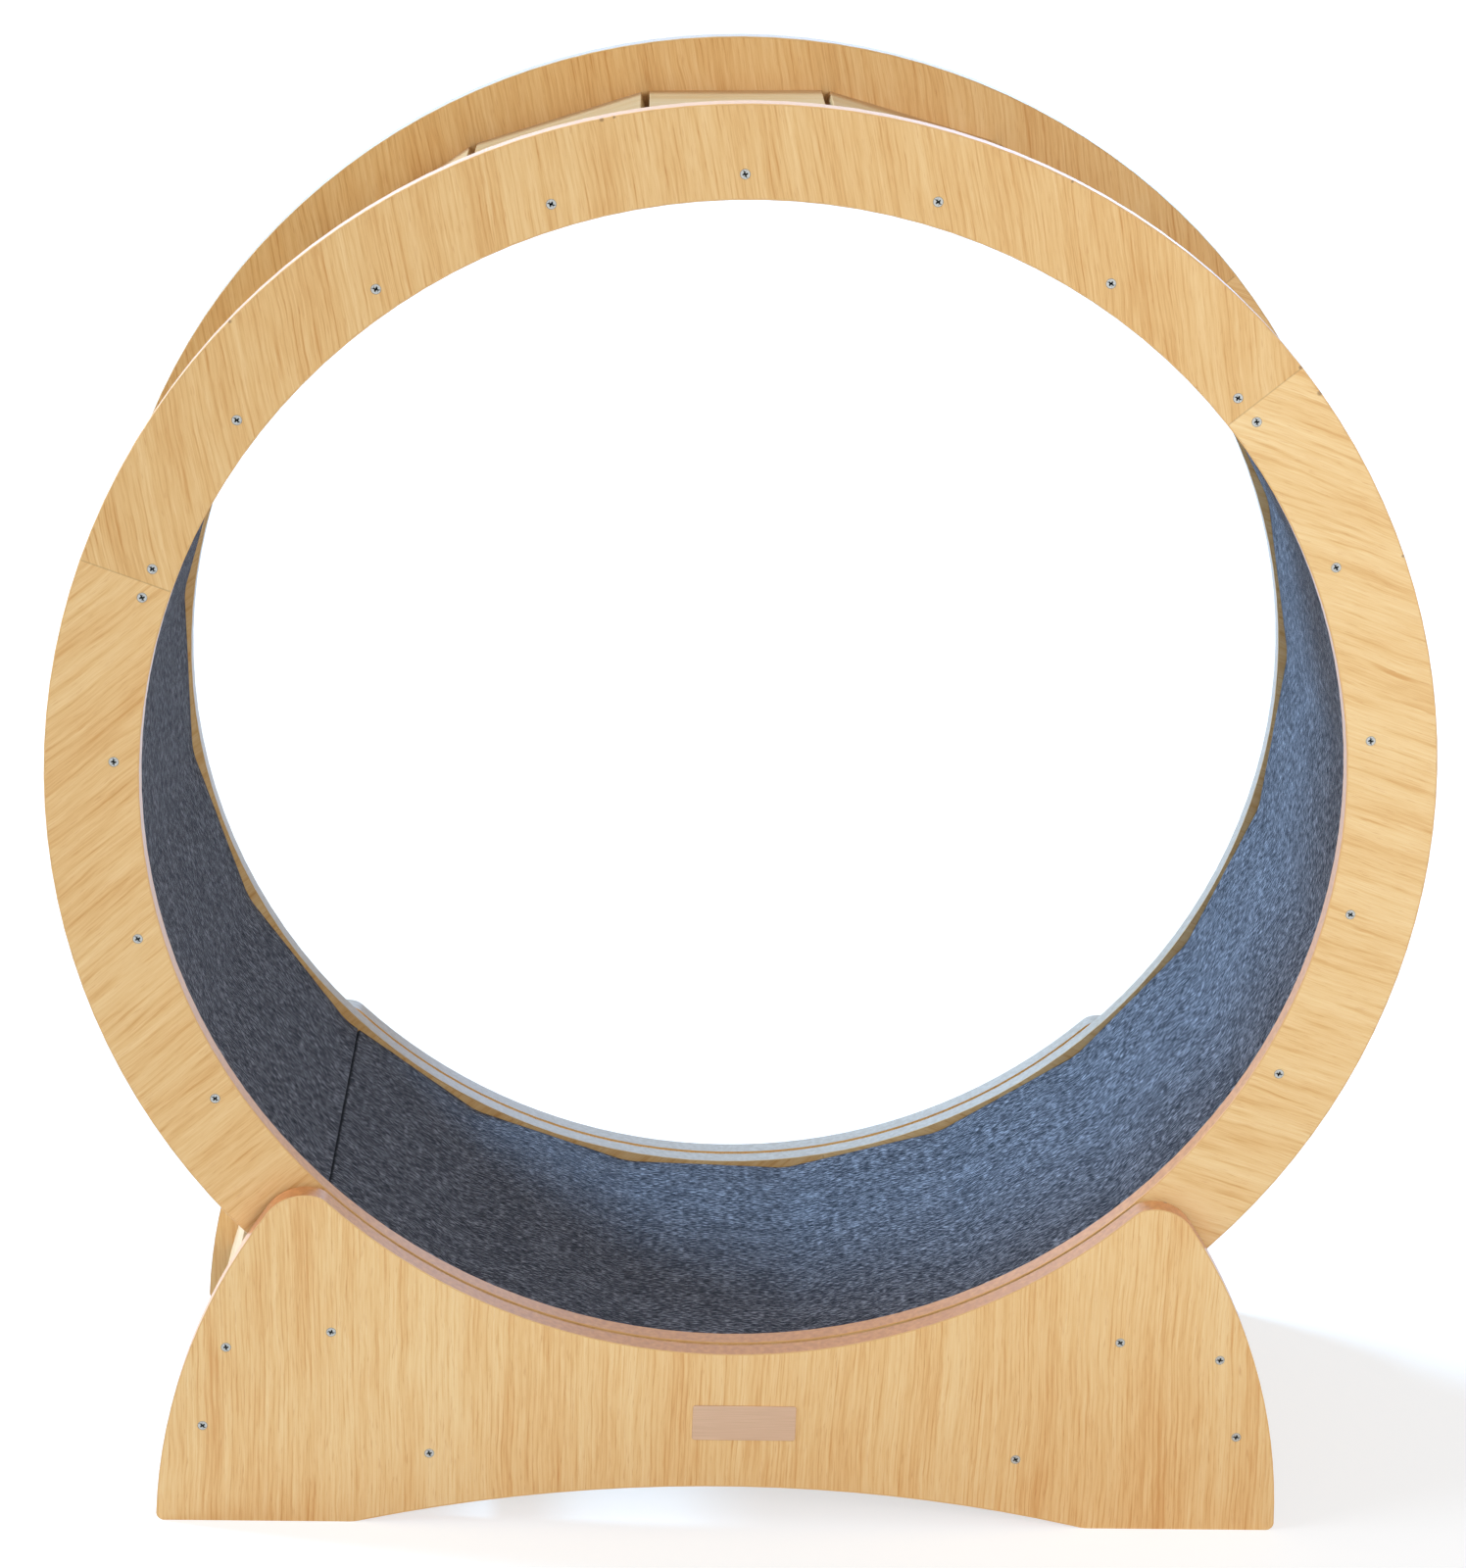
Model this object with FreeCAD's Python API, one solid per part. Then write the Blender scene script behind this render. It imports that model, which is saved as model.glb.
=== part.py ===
import FreeCAD, Part
import math
import os

from FreeCAD import Vector

# Exercise wheel for a pet: a running drum of two wooden rings and a round
# of carpeted slats, which stands on four rollers between two base plates.
# Millimetres, +Z up, front towards -Y, origin on the floor under the middle.

# ---- driving dimensions: the board and the drum -----------------------------
BOARD = 15.0                 # thickness of every wooden board
BAND = 1.0                   # thickness of the edge banding
BAND_ABOVE_FLOOR = 2.0       # the banding of a base plate ends this far above the floor
EASE = 0.4                   # bevel on the long corners of banding and boards
FIT = 0.02                   # radial room round anything seated in a hole

RING_R = 500.0               # outer radius of a ring
RING_IN_R = 433.4            # inner radius of a ring
DRUM_WIDTH = 342.0           # from outer face to outer face of the two rings
AXIS_Z = 575.5               # height of the drum's axis above the floor
SEGMENTS = 3                 # pieces in each ring, butted on radial joints
FIRST_JOINT = 41.2           # angle of the first ring joint, from +X towards +Z

JOINT_SCREW_ANGLE = 1.41     # where a slat bridges a joint, a screw this far each side of it

SLATS = 21
SLAT_IN = 443.7              # from the axis to a slat's inner face
SLAT_WIDTH = 131.7
CARPET_THICK = 7.5
CARPET_SHORT = 0.5           # how far the carpet stops short of each ring
CARPET_SEAM_AT = 227.1       # angle of the butt seam in the carpet
CARPET_SEAM_GAP = 0.8

# ---- driving dimensions: the base -------------------------------------------
PLATE_GAP = 4.0              # clear space between a ring and its base plate
FOOT_IN_X = 275.0            # inner end of each foot
ARCH_RISE = 32.5             # height of the arch between the feet
SIDE_R = 456.0               # radius of the plate's bowed side
SIDE_CENTRE_X = -34.5        # centre of that bow, for the right-hand side
SIDE_CENTRE_Z = -8.0
EAR_R = 34.0                 # radius of the rounded ear on top of the plate
EAR_BEARING = 34.6           # direction from the bow's centre to the ear's
EAR_TIP_ROUND = 16.0         # rounding where the ear meets the hollow
FOOT_ROUND = 6.0
ARCH_ROUND = 30.0

# Screw places on the right half of each plate: x, and height above the floor.
SIDE_BOARD_SCREWS = ((370.0, 142.4), (387.1, 78.2))
CROSS_BOARD_SCREWS = ((293.4, 155.8), (220.0, 57.4))
SIDE_BOARD_ENDS = (18.0, 32.0)     # length beyond the upper and lower screw
CROSS_BOARD_ENDS = (8.0, 12.0)

LABEL_SIZE = (77.4, 0.8, 28.4)
LABEL_CENTRE = (13.7, 85.7)
LABEL_ROUND = 2.0

# ---- driving dimensions: hardware -------------------------------------------
SCREW_LENGTH = 40.0
SCREW_R = 2.0
SCREW_HEAD_R = 3.8
SCREW_HEAD_DEPTH = 2.6
SCREW_SINK = 0.2             # how far the head sits below the surface
SCREW_TIP = 5.0
CROSS_LONG = 4.4             # the cross recess in the head
CROSS_WIDE = 0.9
CROSS_DEEP = 1.8

ROLLER_BEARING_ANGLE = 40.0  # each roller's place, from straight below the axis
ROLLER_R = 22.0              # tread of the roller
ROLLER_CLEAR = 0.3           # room left between tread and ring
FLANGE_R = 25.0
FLANGE_THICK = 2.5
FLANGE_EASE = 0.6
GROOVE_WIDTH = 15.6
ROLLER_BORE_R = 9.5

# 608 ball bearing: 8 mm bore, 22 mm outside, 7 mm wide.
BEARING_R = 11.0
BEARING_BORE_R = 4.0
BEARING_WIDTH = 7.0
OUTER_RACE_IN_R = 9.25
INNER_RACE_OUT_R = 5.75
BALL_R = 1.985
BALLS = 7
BALL_CLEAR = 0.065
SEAL_THICK = 0.4
SEAL_RECESS = 0.3
SEAL_CLEAR = 0.3

SPACER_R = 5.5
AXLE_HOLE_DEPTH = 8.0
AXLE_END_ROOM = 0.5
CLIP_THICK = 0.8
CLIP_R = 6.2
CLIP_GROOVE_R = 3.8
CLIP_MOUTH = 70.0            # opening of the clip, in degrees
CLIP_EAR_R = 1.3

# ---- worked out from those --------------------------------------------------
RING_MID_Y = DRUM_WIDTH / 2 - BOARD / 2
RING_INNER_Y = DRUM_WIDTH / 2 - BOARD
PLATE_INNER_Y = DRUM_WIDTH / 2 + PLATE_GAP
PLATE_OUTER_Y = PLATE_INNER_Y + BOARD
PITCH = 360.0 / SLATS
SEGMENT_SWEEP = 360.0 / SEGMENTS
SLAT_MID_R = SLAT_IN + BOARD / 2
ARCH_R = (FOOT_IN_X ** 2 + ARCH_RISE ** 2) / (2 * ARCH_RISE)
ROLLER_AXIS_R = RING_R + ROLLER_CLEAR + ROLLER_R
ROLLER_WIDTH = GROOVE_WIDTH + 2 * FLANGE_THICK
BALL_PITCH_R = (OUTER_RACE_IN_R + INNER_RACE_OUT_R) / 2

HUB = Vector(0, 0, AXIS_Z)
ALONG = Vector(0, 1, 0)
TOWARDS_Z = Vector(0, -1, 0)   # turning about this carries +X towards +Z
SIDES = {"left": -1, "right": 1}
FACES = {"front": -1, "rear": 1}


# ---- small tools ------------------------------------------------------------

def polar(radius, degrees, y=0.0, centre=(0.0, AXIS_Z)):
    """Point at a radius and an angle in a plane of constant y."""
    turn = math.radians(degrees)
    return Vector(centre[0] + radius * math.cos(turn), y, centre[1] + radius * math.sin(turn))


def arc(start, middle, end):
    return Part.Arc(start, middle, end).toShape()


def line(start, end):
    return Part.LineSegment(start, end).toShape()


def polygon_face(points):
    return Part.Face(Part.makePolygon(list(points) + [points[0]]))


def eased_rectangle(x0, x1, z0, z1, y, ease):
    """Rectangle in a plane of constant y, with its four corners bevelled."""
    corners = ((x0 + ease, z0), (x1 - ease, z0), (x1, z0 + ease), (x1, z1 - ease),
               (x1 - ease, z1), (x0 + ease, z1), (x0, z1 - ease), (x0, z0 + ease))
    return polygon_face([Vector(x, y, z) for x, z in corners])


def turned(profile, centre, start=0.0, sweep=360.0):
    """Turn a profile of (radius, y) points about the Y axis through centre."""
    face = polygon_face([Vector(centre.x + r, centre.y + y, centre.z) for r, y in profile])
    solid = face.revolve(centre, TOWARDS_Z, sweep)
    solid.rotate(centre, TOWARDS_Z, start)
    return solid


def mirrored_profile(half):
    """Complete a profile that is given for y >= 0 with its mirror image."""
    return list(half) + [(r, -y) for r, y in reversed(half)]


def group(shapes):
    return shapes[0] if len(shapes) == 1 else Part.makeCompound(shapes)


# ---- screws -----------------------------------------------------------------

def screw(x, z, facing, head_y):
    """Countersunk wood screw with a cross recess. facing is -1 for a head that looks to -Y."""
    top = SCREW_SINK
    neck = top + SCREW_HEAD_DEPTH
    head = Part.makeCone(SCREW_HEAD_R, SCREW_R, SCREW_HEAD_DEPTH, Vector(0, top, 0), ALONG)
    shank_length = SCREW_LENGTH - SCREW_HEAD_DEPTH - SCREW_TIP
    shank = Part.makeCylinder(SCREW_R, shank_length, Vector(0, neck, 0), ALONG)
    tip = Part.makeCone(SCREW_R, 0.0, SCREW_TIP, Vector(0, neck + shank_length, 0), ALONG)
    body = head.fuse([shank, tip]).removeSplitter()
    for long, high in ((CROSS_LONG, CROSS_WIDE), (CROSS_WIDE, CROSS_LONG)):
        body = body.cut(Part.makeBox(long, CROSS_DEEP, high, Vector(-long / 2, top, -high / 2)))
    return placed(body, x, z, facing, head_y)


def screw_hole(x, z, facing, head_y):
    """The space that a screw and its countersink take up."""
    top = SCREW_SINK
    mouth = Part.makeCylinder(SCREW_HEAD_R + FIT, top + 1.0, Vector(0, -1.0, 0), ALONG)
    sink = Part.makeCone(SCREW_HEAD_R + FIT, SCREW_R + FIT, SCREW_HEAD_DEPTH, Vector(0, top, 0), ALONG)
    drill = Part.makeCylinder(SCREW_R + FIT, SCREW_LENGTH - SCREW_HEAD_DEPTH,
                              Vector(0, top + SCREW_HEAD_DEPTH, 0), ALONG)
    return placed(mouth.fuse([sink, drill]), x, z, facing, head_y)


def placed(shape, x, z, facing, head_y):
    """Stand a shape that points to +Y on its surface, the right way round."""
    if facing > 0:
        shape.rotate(Vector(0, 0, 0), Vector(0, 0, 1), 180)
    shape.translate(Vector(x, head_y, z))
    return shape


def joint_angles():
    return [FIRST_JOINT + i * SEGMENT_SWEEP for i in range(SEGMENTS)]


def slat_angles():
    return [FIRST_JOINT + i * PITCH for i in range(SLATS)]


def ring_screw_angles():
    """One screw per slat, but one each side of the joint where a slat bridges it."""
    angles = []
    slats_per_segment = SLATS // SEGMENTS
    for index, angle in enumerate(slat_angles()):
        if index % slats_per_segment:
            angles.append(angle)
        else:
            angles += [angle - JOINT_SCREW_ANGLE, angle + JOINT_SCREW_ANGLE]
    return angles


def ring_screw_places(facing):
    return [polar(SLAT_MID_R, angle, facing * DRUM_WIDTH / 2) for angle in ring_screw_angles()]


def base_screw_places():
    """Every screw place of one plate, both halves."""
    right = SIDE_BOARD_SCREWS + CROSS_BOARD_SCREWS
    return [(side * x, z) for side in SIDES.values() for x, z in right]


# ---- the running drum -------------------------------------------------------

def ring_segment(facing, start):
    """A third of a ring, less its banding, with its screw holes."""
    y_out = facing * DRUM_WIDTH / 2
    y_in = facing * RING_INNER_Y
    r_in, r_out = RING_IN_R + BAND, RING_R - BAND
    segment = turned([(r_in, y_out), (r_out, y_out), (r_out, y_in), (r_in, y_in)],
                     HUB, start, SEGMENT_SWEEP)
    holes = []
    for angle, place in zip(ring_screw_angles(), ring_screw_places(facing)):
        if 0 < (angle - start) % 360 < SEGMENT_SWEEP:
            holes.append(screw_hole(place.x, place.z, facing, place.y))
    return segment.cut(holes)


def ring_edge_bands(facing):
    """Banding glued to the outer and inner edge of each segment of one ring."""
    low, high = sorted((facing * DRUM_WIDTH / 2, facing * RING_INNER_Y))
    outer = [(RING_R - BAND, low), (RING_R - EASE, low), (RING_R, low + EASE),
             (RING_R, high - EASE), (RING_R - EASE, high), (RING_R - BAND, high)]
    inner = [(RING_IN_R + BAND, low), (RING_IN_R + EASE, low), (RING_IN_R, low + EASE),
             (RING_IN_R, high - EASE), (RING_IN_R + EASE, high), (RING_IN_R + BAND, high)]
    return group([turned(profile, HUB, start, SEGMENT_SWEEP)
                  for start in joint_angles() for profile in (outer, inner)])


def slat(angle):
    """A straight board from ring to ring, with a pilot hole for each screw in its ends."""
    face = eased_rectangle(SLAT_IN, SLAT_IN + BOARD, -SLAT_WIDTH / 2, SLAT_WIDTH / 2,
                           -RING_INNER_Y, EASE)
    face.translate(HUB)
    board = face.extrude(Vector(0, 2 * RING_INNER_Y, 0))
    board.rotate(HUB, TOWARDS_Z, angle)
    holes = []
    for facing in FACES.values():
        for screw_angle, place in zip(ring_screw_angles(), ring_screw_places(facing)):
            apart = (screw_angle - angle + 180) % 360 - 180
            if abs(apart) < PITCH / 2:
                holes.append(screw_hole(place.x, place.z, facing, place.y))
    return board.cut(holes)


def regular_prism(apothem, half_width):
    """Prism with one flat over each slat."""
    corner_r = apothem / math.cos(math.radians(PITCH / 2))
    corners = [polar(corner_r, angle + PITCH / 2, -half_width) for angle in slat_angles()]
    return polygon_face(corners).extrude(Vector(0, 2 * half_width, 0))


def carpet():
    """One strip of carpet glued round inside the slats, its ends meeting at a seam."""
    half_width = RING_INNER_Y - CARPET_SHORT
    strip = regular_prism(SLAT_IN, half_width).cut(regular_prism(SLAT_IN - CARPET_THICK, half_width))
    slit = Part.makeBox(4 * CARPET_THICK, 2 * half_width, CARPET_SEAM_GAP,
                        Vector(SLAT_IN - 2 * CARPET_THICK, -half_width, AXIS_Z - CARPET_SEAM_GAP / 2))
    slit.rotate(HUB, TOWARDS_Z, CARPET_SEAM_AT)
    return strip.cut(slit)


def ring_screws(facing):
    return group([screw(p.x, p.z, facing, p.y) for p in ring_screw_places(facing)])


# ---- the base ---------------------------------------------------------------

def towards(start, end, distance):
    """Point at a distance from start, on the way to end. All are (x, z) pairs."""
    run = (end[0] - start[0], end[1] - start[1])
    share = distance / math.hypot(*run)
    return start[0] + run[0] * share, start[1] + run[1] * share


def upper_meeting(centre_a, radius_a, centre_b, radius_b):
    """The higher of the two points where two circles cross."""
    apart = math.dist(centre_a, centre_b)
    along = (radius_a ** 2 - radius_b ** 2 + apart ** 2) / (2 * apart)
    across = math.sqrt(radius_a ** 2 - along ** 2)
    foot = towards(centre_a, centre_b, along)
    step = ((centre_b[1] - centre_a[1]) / apart * across, (centre_b[0] - centre_a[0]) / apart * across)
    choices = [(foot[0] + step[0], foot[1] - step[1]), (foot[0] - step[0], foot[1] + step[1])]
    return max(choices, key=lambda point: point[1])


def outline_centres():
    """Centres of the arcs on the right half of a base plate."""
    drum = (0.0, AXIS_Z)
    side = (SIDE_CENTRE_X, SIDE_CENTRE_Z)
    bearing = math.radians(EAR_BEARING)
    ear_reach = SIDE_R - EAR_R
    ear = (side[0] + ear_reach * math.cos(bearing), side[1] + ear_reach * math.sin(bearing))
    tip = upper_meeting(ear, EAR_R - EAR_TIP_ROUND, drum, RING_IN_R + EAR_TIP_ROUND)
    arch = (0.0, ARCH_RISE - ARCH_R)
    heel_x = math.sqrt((ARCH_R + ARCH_ROUND) ** 2 - (ARCH_ROUND - arch[1]) ** 2)
    foot_x = side[0] + math.sqrt((SIDE_R - FOOT_ROUND) ** 2 - (FOOT_ROUND - side[1]) ** 2)
    return {"drum": drum, "side": side, "ear": ear, "tip": tip, "arch": arch,
            "heel": (heel_x, ARCH_ROUND), "foot": (foot_x, FOOT_ROUND)}


def plate_outline(y, inset):
    """Closed outline of a base plate, drawn in from its edge by inset."""
    at = outline_centres()
    on_arch = towards(at["arch"], at["heel"], ARCH_R + inset)
    heel = (at["heel"][0], inset)
    foot = (at["foot"][0], inset)
    on_side = towards(at["side"], at["foot"], SIDE_R - inset)
    shoulder = towards(at["side"], at["ear"], SIDE_R - inset)
    on_ear = towards(at["ear"], at["tip"], EAR_R - inset)
    hollow = towards(at["drum"], at["tip"], RING_IN_R + inset)
    right = [(on_arch, "heel", heel), (heel, None, foot), (foot, "foot", on_side),
             (on_side, "side", shoulder), (shoulder, "ear", on_ear), (on_ear, "tip", hollow)]
    edges = [arc(Vector(-hollow[0], y, hollow[1]), Vector(0, y, AXIS_Z - RING_IN_R - inset),
                 Vector(hollow[0], y, hollow[1])),
             arc(Vector(-on_arch[0], y, on_arch[1]), Vector(0, y, ARCH_RISE + inset),
                 Vector(on_arch[0], y, on_arch[1]))]
    for side in SIDES.values():
        for start, centre, end in right:
            ends = [Vector(side * point[0], y, point[1]) for point in (start, end)]
            if centre:
                middle = bowed_middle(start, at[centre], end)
                edges.append(arc(ends[0], Vector(side * middle[0], y, middle[1]), ends[1]))
            else:
                edges.append(line(*ends))
    return Part.Wire(Part.__sortEdges__(edges))


def bowed_middle(start, centre, end):
    """Middle of the shorter arc from start to end about centre."""
    chord_middle = ((start[0] + end[0]) / 2, (start[1] + end[1]) / 2)
    return towards(centre, chord_middle, math.dist(centre, start))


def plate_blank(facing, inset=0.0):
    """A base plate's full thickness inside an outline, with no holes."""
    face = Part.Face(plate_outline(facing * PLATE_INNER_Y, inset))
    return face.extrude(Vector(0, facing * BOARD, 0))


def floor_slice(facing):
    """The lowest layer of a plate, where no banding goes, so that wood meets the floor."""
    width = 2 * SIDE_R
    low = min(facing * PLATE_INNER_Y, facing * PLATE_OUTER_Y)
    return Part.makeBox(width, BOARD, BAND_ABOVE_FLOOR, Vector(-width / 2, low, 0))


def plate_bands(facing):
    """Banding round a base plate, in two strips that stop at the feet."""
    return plate_blank(facing).cut([plate_blank(facing, BAND), floor_slice(facing)])


def roller_centres():
    """Centre of each roller's tread, by the side and the face it belongs to."""
    places = {}
    for side_name, side in SIDES.items():
        for face_name, facing in FACES.items():
            angle = -90 + side * ROLLER_BEARING_ANGLE
            places[face_name, side_name] = polar(ROLLER_AXIS_R, angle, facing * RING_MID_Y)
    return places


def axle_line(side_name):
    """Point on an axle's line, half way between the plates."""
    place = roller_centres()["front", side_name]
    return Vector(place.x, 0, place.z)


def base_plate(facing):
    """A base plate with its screw holes and the blind holes that hold the axles."""
    plate = plate_blank(facing).cut(plate_bands(facing))
    holes = [screw_hole(x, z, facing, facing * PLATE_OUTER_Y) for x, z in base_screw_places()]
    for side_name in SIDES:
        mouth = axle_line(side_name) + Vector(0, facing * PLATE_INNER_Y, 0)
        holes.append(Part.makeCylinder(BEARING_BORE_R, AXLE_HOLE_DEPTH, mouth, ALONG * facing))
    return plate.cut(holes)


def board_between_plates(upper, lower, ends, side):
    """A board that ties the plates together, on the line through its two screws."""
    run = Vector(upper[0] - lower[0], 0, upper[1] - lower[1])
    length = run.Length + sum(ends)
    face = eased_rectangle(-ends[1], length - ends[1], -BOARD / 2, BOARD / 2, -PLATE_INNER_Y, EASE)
    board = face.extrude(Vector(0, 2 * PLATE_INNER_Y, 0))
    board.rotate(Vector(0, 0, 0), TOWARDS_Z, math.degrees(math.atan2(run.z, run.x)))
    board.translate(Vector(lower[0], 0, lower[1]))
    if side < 0:
        board = board.mirror(Vector(0, 0, 0), Vector(1, 0, 0))
    holes = [screw_hole(side * x, z, facing, facing * PLATE_OUTER_Y)
             for facing in FACES.values() for x, z in (upper, lower)]
    return board.cut(holes)


def base_screws():
    return group([screw(x, z, facing, facing * PLATE_OUTER_Y)
                  for facing in FACES.values() for x, z in base_screw_places()])


def label_plate():
    """Bare metal plate glued to the front of the base."""
    wide, thick, high = LABEL_SIZE
    plate = Part.makeBox(wide, thick, high, Vector(LABEL_CENTRE[0] - wide / 2, -PLATE_OUTER_Y - thick,
                                                   LABEL_CENTRE[1] - high / 2))
    upright = [edge for edge in plate.Edges if abs(edge.tangentAt(edge.FirstParameter).y) > 0.999]
    return plate.makeFillet(LABEL_ROUND, upright)


# ---- rollers, bearings and axles --------------------------------------------

def roller(centre):
    """Grooved roller: the ring's edge runs on its tread, between two flanges."""
    half, groove = ROLLER_WIDTH / 2, GROOVE_WIDTH / 2
    seat = half - BEARING_WIDTH
    lean = 0.3                  # how far a flange's inner face leans outwards
    profile = mirrored_profile([
        (ROLLER_BORE_R, seat), (BEARING_R + FIT, seat), (BEARING_R + FIT, half),
        (FLANGE_R - FLANGE_EASE, half), (FLANGE_R, half - FLANGE_EASE),
        (FLANGE_R, groove + lean), (ROLLER_R, groove)])
    return turned(profile, centre)


def bearing_centres(centre):
    offset = (ROLLER_WIDTH - BEARING_WIDTH) / 2
    return [centre + ALONG * (sign * offset) for sign in (-1, 1)]


def race_groove(centre):
    """The round track that the balls run in."""
    return Part.makeTorus(BALL_PITCH_R, BALL_R + BALL_CLEAR, centre, ALONG)


def bearing_shell(centre):
    """Outer ring, two seals and the balls of one bearing: all that goes round with the roller."""
    half = BEARING_WIDTH / 2
    ring = turned([(OUTER_RACE_IN_R, -half), (BEARING_R, -half), (BEARING_R, half),
                   (OUTER_RACE_IN_R, half)], centre).cut(race_groove(centre))
    solids = [ring]
    for sign in (-1, 1):
        outside = sign * (half - SEAL_RECESS)
        inside = outside - sign * SEAL_THICK
        solids.append(turned([(INNER_RACE_OUT_R + SEAL_CLEAR, inside), (OUTER_RACE_IN_R, inside),
                              (OUTER_RACE_IN_R, outside), (INNER_RACE_OUT_R + SEAL_CLEAR, outside)],
                             centre))
    for i in range(BALLS):
        turn = math.radians(i * 360.0 / BALLS)
        place = centre + Vector(BALL_PITCH_R * math.cos(turn), 0, BALL_PITCH_R * math.sin(turn))
        solids.append(Part.makeSphere(BALL_R, place))
    return solids


def bearing_inner_ring(centre):
    half = BEARING_WIDTH / 2
    ring = turned([(BEARING_BORE_R, -half), (INNER_RACE_OUT_R, -half), (INNER_RACE_OUT_R, half),
                   (BEARING_BORE_R, half)], centre)
    return ring.cut(race_groove(centre))


def bearings(centre):
    return group([solid for place in bearing_centres(centre) for solid in bearing_shell(place)])


def inner_rings(side_name):
    """The four inner rings that stay still on one axle."""
    return group([bearing_inner_ring(place) for face_name in FACES
                  for place in bearing_centres(roller_centres()[face_name, side_name])])


def spacers(side_name):
    """Tubes that hold the two inner rings of each roller apart."""
    half = ROLLER_WIDTH / 2 - BEARING_WIDTH
    return group([turned([(BEARING_BORE_R + FIT, -half), (SPACER_R, -half), (SPACER_R, half),
                          (BEARING_BORE_R + FIT, half)], roller_centres()[face_name, side_name])
                  for face_name in FACES])


def clip_offsets():
    """Distance along Y from a roller's middle to the middle of each of its clips."""
    return [sign * (ROLLER_WIDTH + CLIP_THICK) / 2 for sign in (-1, 1)]


def clip_grooves(side_name):
    grooves = []
    for face_name in FACES:
        for offset in clip_offsets():
            centre = roller_centres()[face_name, side_name] + ALONG * offset
            half = CLIP_THICK / 2 + FIT
            grooves.append(turned([(CLIP_GROOVE_R - FIT, -half), (BEARING_R, -half),
                                   (BEARING_R, half), (CLIP_GROOVE_R - FIT, half)], centre))
    return grooves


def axle(side_name):
    """Steel rod from plate to plate, with a groove each side of each roller."""
    length = 2 * (PLATE_INNER_Y + AXLE_HOLE_DEPTH - AXLE_END_ROOM)
    start = axle_line(side_name) + Vector(0, -length / 2, 0)
    return Part.makeCylinder(BEARING_BORE_R - FIT, length, start, ALONG).cut(clip_grooves(side_name))


def clip(centre):
    """Spring clip that snaps into an axle's groove, open at the bottom, with two ears."""
    half = CLIP_THICK / 2
    start = -90 + CLIP_MOUTH / 2
    sweep = 360 - CLIP_MOUTH
    ring = turned([(CLIP_GROOVE_R, -half), (CLIP_R, -half), (CLIP_R, half), (CLIP_GROOVE_R, half)],
                  centre, start, sweep)
    ears = []
    ear_r = CLIP_GROOVE_R + CLIP_EAR_R
    for angle in (start, start + sweep):
        place = polar(ear_r, angle, centre.y - half, (centre.x, centre.z))
        ears.append(Part.makeCylinder(CLIP_EAR_R, CLIP_THICK, place, ALONG))
    return ring.fuse(ears).removeSplitter()


def axle_clips():
    return group([clip(centre + ALONG * offset)
                  for centre in roller_centres().values() for offset in clip_offsets()])


# ---- the whole object -------------------------------------------------------

def drum_nodes():
    nodes = {}
    for face_name, facing in FACES.items():
        for number, start in enumerate(joint_angles(), 1):
            nodes[f"{face_name}_ring_segment_{number}"] = ring_segment(facing, start)
        nodes[f"{face_name}_ring_edge_bands"] = ring_edge_bands(facing)
        nodes[f"{face_name}_ring_screws"] = ring_screws(facing)
    for number, angle in enumerate(slat_angles(), 1):
        nodes[f"slat_{number:02d}"] = slat(angle)
    nodes["carpet"] = carpet()
    return nodes


def base_nodes():
    nodes = {}
    for face_name, facing in FACES.items():
        nodes[f"{face_name}_base_plate"] = base_plate(facing)
        nodes[f"{face_name}_plate_edge_bands"] = plate_bands(facing)
    for side_name, side in SIDES.items():
        nodes[f"{side_name}_side_board"] = board_between_plates(*SIDE_BOARD_SCREWS, SIDE_BOARD_ENDS, side)
        nodes[f"{side_name}_cross_board"] = board_between_plates(*CROSS_BOARD_SCREWS, CROSS_BOARD_ENDS, side)
        nodes[f"{side_name}_axle"] = axle(side_name)
        nodes[f"{side_name}_axle_spacers"] = spacers(side_name)
        nodes[f"{side_name}_bearing_inner_rings"] = inner_rings(side_name)
    nodes["axle_clips"] = axle_clips()
    nodes["base_screws"] = base_screws()
    nodes["label_plate"] = label_plate()
    return nodes


def roller_nodes():
    nodes = {}
    for (face_name, side_name), centre in roller_centres().items():
        nodes[f"{face_name}_{side_name}_roller"] = roller(centre)
        nodes[f"{face_name}_{side_name}_bearings"] = bearings(centre)
    return nodes


os.makedirs("parts", exist_ok=True)
for name, shape in {**drum_nodes(), **base_nodes(), **roller_nodes()}.items():
    if not shape.isValid():
        raise ValueError(f"{name} is not a valid shape")
    shape.exportStep(f"parts/{name}.step")
    print(f"{name}: {len(shape.Solids)} solids, {shape.Volume / 1000:.2f} cm3")
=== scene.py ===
import math
import random

import bmesh
import bpy
from mathutils import Matrix, Vector, noise


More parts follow.
